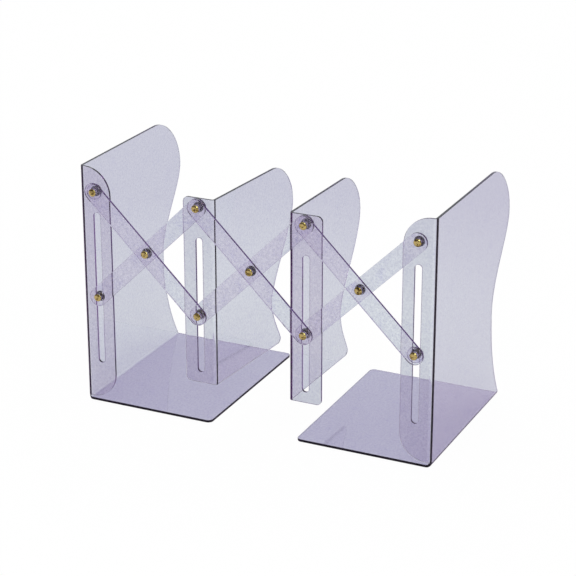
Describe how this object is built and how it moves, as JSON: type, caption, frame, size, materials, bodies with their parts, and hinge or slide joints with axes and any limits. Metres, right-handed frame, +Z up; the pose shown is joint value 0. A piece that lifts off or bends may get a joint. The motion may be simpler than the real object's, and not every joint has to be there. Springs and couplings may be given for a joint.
{
  "type": "expandable bookend",
  "caption": "Expanding book rack of clear violet sheet plastic: bent ends on floor plates and hanging dividers, joined by riveted lazy-tongs bars that spread or close the whole rack.",
  "frame": {"origin": "centre of the rack as it stands, on the floor", "axes": "+X along the shelf to the right end, +Y back over the floor plates, +Z up"},
  "size_m": [0.285, 0.1596, 0.19],
  "materials": {
    "clear_sheet": "clear polished sheet with a violet tint, darker where it is seen along its edges",
    "clear_bar": "the same clear sheet, finely speckled in the bars",
    "rivet_brass": "polished, a little toned",
    "cap_nickel": "grey nickel plate"
  },
  "bodies": {
    "left_end": {"left_end_sheet": "clear_sheet", "left_end_upper_rivet": "rivet_brass", "left_end_upper_cap": "cap_nickel", "left_end_upper_spacer": "clear_bar"},
    "left_falling_bar": {"left_falling_bar": "clear_bar", "left_cross_rivet": "rivet_brass", "left_cross_cap": "cap_nickel", "left_divider_lower_rivet": "rivet_brass", "left_divider_lower_cap": "cap_nickel"},
    "left_rising_bar": {"left_rising_bar": "clear_bar", "left_end_lower_rivet": "rivet_brass", "left_end_lower_cap": "cap_nickel"},
    "left_divider": {"left_divider_sheet": "clear_sheet", "left_divider_upper_rivet": "rivet_brass", "left_divider_upper_cap": "cap_nickel"},
    "middle_falling_bar": {"middle_falling_bar": "clear_bar", "middle_cross_rivet": "rivet_brass", "middle_cross_cap": "cap_nickel", "right_divider_lower_rivet": "rivet_brass", "right_divider_lower_cap": "cap_nickel"},
    "middle_rising_bar": {"middle_rising_bar": "clear_bar"},
    "right_divider": {"right_divider_sheet": "clear_sheet", "right_divider_upper_rivet": "rivet_brass", "right_divider_upper_cap": "cap_nickel"},
    "right_falling_bar": {"right_falling_bar": "clear_bar", "right_cross_rivet": "rivet_brass", "right_cross_cap": "cap_nickel", "right_end_lower_rivet": "rivet_brass", "right_end_lower_cap": "cap_nickel", "right_end_lower_spacer": "clear_bar"},
    "right_rising_bar": {"right_rising_bar": "clear_bar"},
    "right_end": {"right_end_sheet": "clear_sheet", "right_end_upper_rivet": "rivet_brass", "right_end_upper_cap": "cap_nickel"}
  },
  "joints": [
    {"name": "spread", "type": "hinge", "parent": "left_end", "child": "left_falling_bar", "pos_m": [-0.12925, -0.0762, 0.1718], "axis": [0, -1, 0], "range_deg": [-14.2, 31.5]},
    {"name": "left_cross", "type": "hinge", "parent": "left_falling_bar", "child": "left_rising_bar", "pos_m": [-0.08617, -0.0762, 0.12961], "axis": [0, -1, 0], "range_deg": [-63, 28.4]},
    {"name": "left_divider_swing", "type": "hinge", "parent": "left_rising_bar", "child": "left_divider", "pos_m": [-0.04308, -0.0762, 0.1718], "axis": [0, -1, 0], "range_deg": [-14.2, 31.5]},
    {"name": "middle_spread", "type": "hinge", "parent": "left_divider", "child": "middle_falling_bar", "pos_m": [-0.04308, -0.0762, 0.1718], "axis": [0, -1, 0], "range_deg": [-14.2, 31.5]},
    {"name": "middle_cross", "type": "hinge", "parent": "middle_falling_bar", "child": "middle_rising_bar", "pos_m": [0, -0.0762, 0.12961], "axis": [0, -1, 0], "range_deg": [-63, 28.4]},
    {"name": "right_divider_swing", "type": "hinge", "parent": "middle_rising_bar", "child": "right_divider", "pos_m": [0.04308, -0.0762, 0.1718], "axis": [0, -1, 0], "range_deg": [-14.2, 31.5]},
    {"name": "right_spread", "type": "hinge", "parent": "right_divider", "child": "right_falling_bar", "pos_m": [0.04308, -0.0762, 0.1718], "axis": [0, -1, 0], "range_deg": [-14.2, 31.5]},
    {"name": "right_cross", "type": "hinge", "parent": "right_falling_bar", "child": "right_rising_bar", "pos_m": [0.08617, -0.0762, 0.12961], "axis": [0, -1, 0], "range_deg": [-63, 28.4]},
    {"name": "right_end_swing", "type": "hinge", "parent": "right_rising_bar", "child": "right_end", "pos_m": [0.12925, -0.0762, 0.1718], "axis": [0, -1, 0], "range_deg": [-14.2, 31.5]}
  ],
  "couplings": [
    {"joint": "left_cross", "follows": "spread", "ratio": -2},
    {"joint": "left_divider_swing", "follows": "spread", "ratio": 1},
    {"joint": "middle_spread", "follows": "spread", "ratio": 1},
    {"joint": "middle_cross", "follows": "spread", "ratio": -2},
    {"joint": "right_divider_swing", "follows": "spread", "ratio": 1},
    {"joint": "right_spread", "follows": "spread", "ratio": 1},
    {"joint": "right_cross", "follows": "spread", "ratio": -2},
    {"joint": "right_end_swing", "follows": "spread", "ratio": 1}
  ]
}
